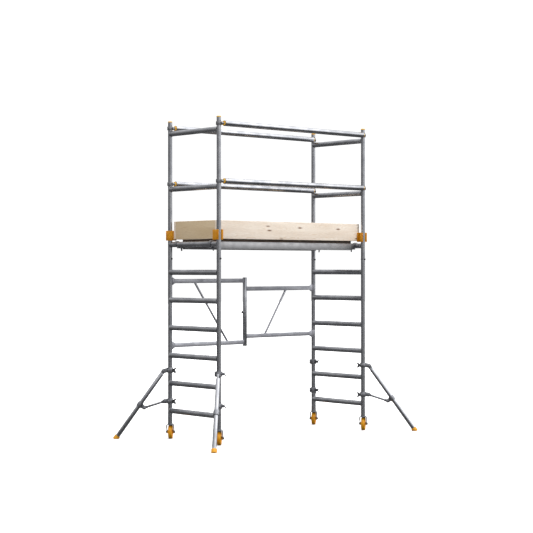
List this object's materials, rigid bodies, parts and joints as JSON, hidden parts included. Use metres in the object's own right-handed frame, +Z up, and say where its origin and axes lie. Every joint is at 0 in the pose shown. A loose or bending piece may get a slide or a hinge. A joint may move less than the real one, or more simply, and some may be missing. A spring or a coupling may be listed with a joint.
{
  "type": "mobile tower scaffold",
  "caption": "Single-bay mobile access tower with ladder end frames, folding gate brace, hatched platform, toe boards, guardrails, braced outriggers and swivel castors.",
  "frame": {"origin": "on the floor, under the middle of the bay and of the frame width", "axes": "+X along the bay to the right, +Y to the back (gate side), +Z up"},
  "size_m": [2.552, 1.432, 2.872],
  "materials": {
    "frame_aluminium": "mill-finished extruded tube",
    "rung_and_rail_aluminium": "mill-finished extruded tube",
    "zinc_steel": "zinc plated",
    "cast_alloy": "as cast, tumbled",
    "yellow_plastic": "moulded",
    "orange_plastic": "moulded, ribbed",
    "spruce": "planed spruce",
    "deck_plywood": "film-faced birch plywood with a mesh pattern",
    "yellow_rubber": "moulded rubber",
    "yellow_tread": "cast polyurethane wheel",
    "gate_aluminium": "mill-finished extruded tube"
  },
  "bodies": {
    "tower": {"left_lower_frame": "frame_aluminium", "right_lower_frame": "frame_aluminium", "left_upper_frame": "frame_aluminium", "right_upper_frame": "frame_aluminium", "frame_spigots": "frame_aluminium", "joint_lock_pins": "zinc_steel", "post_caps": "yellow_plastic", "guardrail_tubes": "rung_and_rail_aluminium", "guardrail_claws": "cast_alloy", "platform_frame": "gate_aluminium", "platform_hooks": "cast_alloy", "deck": "deck_plywood", "toe_boards": "spruce", "toe_board_clips": "orange_plastic", "gate_wide_leaf": "gate_aluminium", "gate_narrow_leaf": "gate_aluminium", "gate_centre_post": "gate_aluminium", "castor_stems": "zinc_steel"},
    "rail_triggers_left": {"rail_triggers_left": "yellow_plastic"},
    "rail_triggers_right": {"rail_triggers_right": "yellow_plastic"},
    "hatch": {"hatch": "deck_plywood"},
    "wind_locks_left": {"wind_locks_left": "zinc_steel"},
    "wind_locks_right": {"wind_locks_right": "zinc_steel"},
    "gate_lock_pin": {"gate_lock_pin": "zinc_steel"},
    "outrigger_front_left_couplers": {"outrigger_couplers_front_left": "zinc_steel"},
    "outrigger_front_left_wing_nuts": {"outrigger_wing_nuts_front_left": "zinc_steel"},
    "outrigger_front_left_leg": {"outrigger_tube_front_left": "frame_aluminium", "outrigger_foot_front_left": "yellow_rubber"},
    "outrigger_front_left_collar": {"outrigger_collar_front_left": "zinc_steel"},
    "outrigger_front_left_strut": {"outrigger_strut_front_left": "zinc_steel"},
    "castor_front_left_fork": {"castor_fork_front_left": "zinc_steel"},
    "castor_front_left_wheel": {"castor_wheel_front_left": "yellow_tread"},
    "castor_front_left_brake": {"castor_brake_front_left": "zinc_steel"},
    "outrigger_front_right_couplers": {"outrigger_couplers_front_right": "zinc_steel"},
    "outrigger_front_right_wing_nuts": {"outrigger_wing_nuts_front_right": "zinc_steel"},
    "outrigger_front_right_leg": {"outrigger_tube_front_right": "frame_aluminium", "outrigger_foot_front_right": "yellow_rubber"},
    "outrigger_front_right_collar": {"outrigger_collar_front_right": "zinc_steel"},
    "outrigger_front_right_strut": {"outrigger_strut_front_right": "zinc_steel"},
    "castor_front_right_fork": {"castor_fork_front_right": "zinc_steel"},
    "castor_front_right_wheel": {"castor_wheel_front_right": "yellow_tread"},
    "castor_front_right_brake": {"castor_brake_front_right": "zinc_steel"},
    "outrigger_back_left_couplers": {"outrigger_couplers_back_left": "zinc_steel"},
    "outrigger_back_left_wing_nuts": {"outrigger_wing_nuts_back_left": "zinc_steel"},
    "outrigger_back_left_leg": {"outrigger_tube_back_left": "frame_aluminium", "outrigger_foot_back_left": "yellow_rubber"},
    "outrigger_back_left_collar": {"outrigger_collar_back_left": "zinc_steel"},
    "outrigger_back_left_strut": {"outrigger_strut_back_left": "zinc_steel"},
    "castor_back_left_fork": {"castor_fork_back_left": "zinc_steel"},
    "castor_back_left_wheel": {"castor_wheel_back_left": "yellow_tread"},
    "castor_back_left_brake": {"castor_brake_back_left": "zinc_steel"},
    "outrigger_back_right_couplers": {"outrigger_couplers_back_right": "zinc_steel"},
    "outrigger_back_right_wing_nuts": {"outrigger_wing_nuts_back_right": "zinc_steel"},
    "outrigger_back_right_leg": {"outrigger_tube_back_right": "frame_aluminium", "outrigger_foot_back_right": "yellow_rubber"},
    "outrigger_back_right_collar": {"outrigger_collar_back_right": "zinc_steel"},
    "outrigger_back_right_strut": {"outrigger_strut_back_right": "zinc_steel"},
    "castor_back_right_fork": {"castor_fork_back_right": "zinc_steel"},
    "castor_back_right_wheel": {"castor_wheel_back_right": "yellow_tread"},
    "castor_back_right_brake": {"castor_brake_back_right": "zinc_steel"}
  },
  "joints": [
    {"name": "rail_triggers_left_slide", "type": "slide", "parent": "tower", "child": "rail_triggers_left", "axis": [1, 0, 0], "range_m": [0, 0.009], "stiffness_N_per_m": 400, "springref_m": -0.005},
    {"name": "rail_triggers_right_slide", "type": "slide", "parent": "tower", "child": "rail_triggers_right", "axis": [-1, 0, 0], "range_m": [0, 0.009], "stiffness_N_per_m": 400, "springref_m": -0.005},
    {"name": "hatch_hinge", "type": "hinge", "parent": "tower", "child": "hatch", "pos_m": [-0.385, 0.2035, 1.8095], "axis": [-1, 0, 0], "range_deg": [0, 105]},
    {"name": "wind_locks_left_turn", "type": "hinge", "parent": "tower", "child": "wind_locks_left", "pos_m": [-0.862, 0, 1.73], "axis": [0, -1, 0], "range_deg": [0, 55]},
    {"name": "wind_locks_right_turn", "type": "hinge", "parent": "tower", "child": "wind_locks_right", "pos_m": [0.862, 0, 1.73], "axis": [0, 1, 0], "range_deg": [0, 55]},
    {"name": "gate_lock_pin_pull", "type": "slide", "parent": "tower", "child": "gate_lock_pin", "axis": [-1, 0, 0], "range_m": [0, 0.012], "stiffness_N_per_m": 500, "springref_m": -0.005},
    {"name": "outrigger_front_left_swing", "type": "hinge", "parent": "tower", "child": "outrigger_front_left_couplers", "pos_m": [-0.9, -0.34, 0.345], "axis": [0, 0, 1], "range_deg": [-45, 135]},
    {"name": "outrigger_front_left_fold", "type": "hinge", "parent": "outrigger_front_left_couplers", "child": "outrigger_front_left_leg", "pos_m": [-0.94172, -0.38172, 0.615], "axis": [-0.7071, 0.7071, 0], "range_deg": [0, 8]},
    {"name": "outrigger_front_left_strut_turn", "type": "hinge", "parent": "outrigger_front_left_couplers", "child": "outrigger_front_left_strut", "pos_m": [-0.93606, -0.37606, 0.342], "axis": [-0.7071, 0.7071, 0], "range_deg": [-0.1, 19.7]},
    {"name": "outrigger_front_left_collar_slide", "type": "slide", "parent": "outrigger_front_left_leg", "child": "outrigger_front_left_collar", "axis": [-0.4096, -0.4096, -0.8152], "range_m": [-0.052, 0.001]},
    {"name": "outrigger_front_left_nuts_off", "type": "slide", "parent": "outrigger_front_left_couplers", "child": "outrigger_front_left_wing_nuts", "axis": [0.7071, 0.7071, 0], "range_m": [0, 0.008]},
    {"name": "castor_front_left_swivel", "type": "hinge", "parent": "tower", "child": "castor_front_left_fork", "pos_m": [-0.9, -0.34, 0.13], "axis": [0, 0, 1], "continuous": true},
    {"name": "castor_front_left_roll", "type": "hinge", "parent": "castor_front_left_fork", "child": "castor_front_left_wheel", "pos_m": [-0.8744, -0.31613, 0.0625], "axis": [-0.682, 0.7314, 0], "continuous": true},
    {"name": "castor_front_left_brake_press", "type": "hinge", "parent": "castor_front_left_fork", "child": "castor_front_left_brake", "pos_m": [-0.86051, -0.30317, 0.129], "axis": [-0.682, 0.7314, 0], "range_deg": [0, 6]},
    {"name": "outrigger_front_right_swing", "type": "hinge", "parent": "tower", "child": "outrigger_front_right_couplers", "pos_m": [0.9, -0.34, 0.345], "axis": [0, 0, -1], "range_deg": [-45, 135]},
    {"name": "outrigger_front_right_fold", "type": "hinge", "parent": "outrigger_front_right_couplers", "child": "outrigger_front_right_leg", "pos_m": [0.94172, -0.38172, 0.615], "axis": [-0.7071, -0.7071, 0], "range_deg": [0, 8]},
    {"name": "outrigger_front_right_strut_turn", "type": "hinge", "parent": "outrigger_front_right_couplers", "child": "outrigger_front_right_strut", "pos_m": [0.93606, -0.37606, 0.342], "axis": [-0.7071, -0.7071, 0], "range_deg": [-0.1, 19.7]},
    {"name": "outrigger_front_right_collar_slide", "type": "slide", "parent": "outrigger_front_right_leg", "child": "outrigger_front_right_collar", "axis": [0.4096, -0.4096, -0.8152], "range_m": [-0.052, 0.001]},
    {"name": "outrigger_front_right_nuts_off", "type": "slide", "parent": "outrigger_front_right_couplers", "child": "outrigger_front_right_wing_nuts", "axis": [-0.7071, 0.7071, 0], "range_m": [0, 0.008]},
    {"name": "castor_front_right_swivel", "type": "hinge", "parent": "tower", "child": "castor_front_right_fork", "pos_m": [0.9, -0.34, 0.13], "axis": [0, 0, 1], "continuous": true},
    {"name": "castor_front_right_roll", "type": "hinge", "parent": "castor_front_right_fork", "child": "castor_front_right_wheel", "pos_m": [0.92758, -0.31845, 0.0625], "axis": [-0.6157, 0.788, 0], "continuous": true},
    {"name": "castor_front_right_brake_press", "type": "hinge", "parent": "castor_front_right_fork", "child": "castor_front_right_brake", "pos_m": [0.94255, -0.30675, 0.129], "axis": [-0.6157, 0.788, 0], "range_deg": [0, 6]},
    {"name": "outrigger_back_left_swing", "type": "hinge", "parent": "tower", "child": "outrigger_back_left_couplers", "pos_m": [-0.9, 0.34, 0.345], "axis": [0, 0, -1], "range_deg": [-45, 135]},
    {"name": "outrigger_back_left_fold", "type": "hinge", "parent": "outrigger_back_left_couplers", "child": "outrigger_back_left_leg", "pos_m": [-0.94172, 0.38172, 0.615], "axis": [0.7071, 0.7071, 0], "range_deg": [0, 8]},
    {"name": "outrigger_back_left_strut_turn", "type": "hinge", "parent": "outrigger_back_left_couplers", "child": "outrigger_back_left_strut", "pos_m": [-0.93606, 0.37606, 0.342], "axis": [0.7071, 0.7071, 0], "range_deg": [-0.1, 19.7]},
    {"name": "outrigger_back_left_collar_slide", "type": "slide", "parent": "outrigger_back_left_leg", "child": "outrigger_back_left_collar", "axis": [-0.4096, 0.4096, -0.8152], "range_m": [-0.052, 0.001]},
    {"name": "outrigger_back_left_nuts_off", "type": "slide", "parent": "outrigger_back_left_couplers", "child": "outrigger_back_left_wing_nuts", "axis": [0.7071, -0.7071, 0], "range_m": [0, 0.008]},
    {"name": "castor_back_left_swivel", "type": "hinge", "parent": "tower", "child": "castor_back_left_fork", "pos_m": [-0.9, 0.34, 0.13], "axis": [0, 0, 1], "continuous": true},
    {"name": "castor_back_left_roll", "type": "hinge", "parent": "castor_back_left_fork", "child": "castor_back_left_wheel", "pos_m": [-0.87525, 0.36475, 0.0625], "axis": [-0.7071, 0.7071, 0], "continuous": true},
    {"name": "castor_back_left_brake_press", "type": "hinge", "parent": "castor_back_left_fork", "child": "castor_back_left_brake", "pos_m": [-0.86182, 0.37818, 0.129], "axis": [-0.7071, 0.7071, 0], "range_deg": [0, 6]},
    {"name": "outrigger_back_right_swing", "type": "hinge", "parent": "tower", "child": "outrigger_back_right_couplers", "pos_m": [0.9, 0.34, 0.345], "axis": [0, 0, 1], "range_deg": [-45, 135]},
    {"name": "outrigger_back_right_fold", "type": "hinge", "parent": "outrigger_back_right_couplers", "child": "outrigger_back_right_leg", "pos_m": [0.94172, 0.38172, 0.615], "axis": [0.7071, -0.7071, 0], "range_deg": [0, 8]},
    {"name": "outrigger_back_right_strut_turn", "type": "hinge", "parent": "outrigger_back_right_couplers", "child": "outrigger_back_right_strut", "pos_m": [0.93606, 0.37606, 0.342], "axis": [0.7071, -0.7071, 0], "range_deg": [-0.1, 19.7]},
    {"name": "outrigger_back_right_collar_slide", "type": "slide", "parent": "outrigger_back_right_leg", "child": "outrigger_back_right_collar", "axis": [0.4096, 0.4096, -0.8152], "range_m": [-0.052, 0.001]},
    {"name": "outrigger_back_right_nuts_off", "type": "slide", "parent": "outrigger_back_right_couplers", "child": "outrigger_back_right_wing_nuts", "axis": [-0.7071, -0.7071, 0], "range_m": [0, 0.008]},
    {"name": "castor_back_right_swivel", "type": "hinge", "parent": "tower", "child": "castor_back_right_fork", "pos_m": [0.9, 0.34, 0.13], "axis": [0, 0, 1], "continuous": true},
    {"name": "castor_back_right_roll", "type": "hinge", "parent": "castor_back_right_fork", "child": "castor_back_right_wheel", "pos_m": [0.9272, 0.36203, 0.0625], "axis": [-0.6293, 0.7771, 0], "continuous": true},
    {"name": "castor_back_right_brake_press", "type": "hinge", "parent": "castor_back_right_fork", "child": "castor_back_right_brake", "pos_m": [0.94197, 0.37398, 0.129], "axis": [-0.6293, 0.7771, 0], "range_deg": [0, 6]}
  ],
  "couplings": [
    {"joint": "outrigger_front_left_strut_turn", "follows": "outrigger_front_left_fold", "ratio": 2.435},
    {"joint": "outrigger_front_left_collar_slide", "follows": "outrigger_front_left_fold", "m_per_rad": -0.3605},
    {"joint": "outrigger_front_right_strut_turn", "follows": "outrigger_front_right_fold", "ratio": 2.435},
    {"joint": "outrigger_front_right_collar_slide", "follows": "outrigger_front_right_fold", "m_per_rad": -0.3605},
    {"joint": "outrigger_back_left_strut_turn", "follows": "outrigger_back_left_fold", "ratio": 2.435},
    {"joint": "outrigger_back_left_collar_slide", "follows": "outrigger_back_left_fold", "m_per_rad": -0.3605},
    {"joint": "outrigger_back_right_strut_turn", "follows": "outrigger_back_right_fold", "ratio": 2.435},
    {"joint": "outrigger_back_right_collar_slide", "follows": "outrigger_back_right_fold", "m_per_rad": -0.3605}
  ]
}
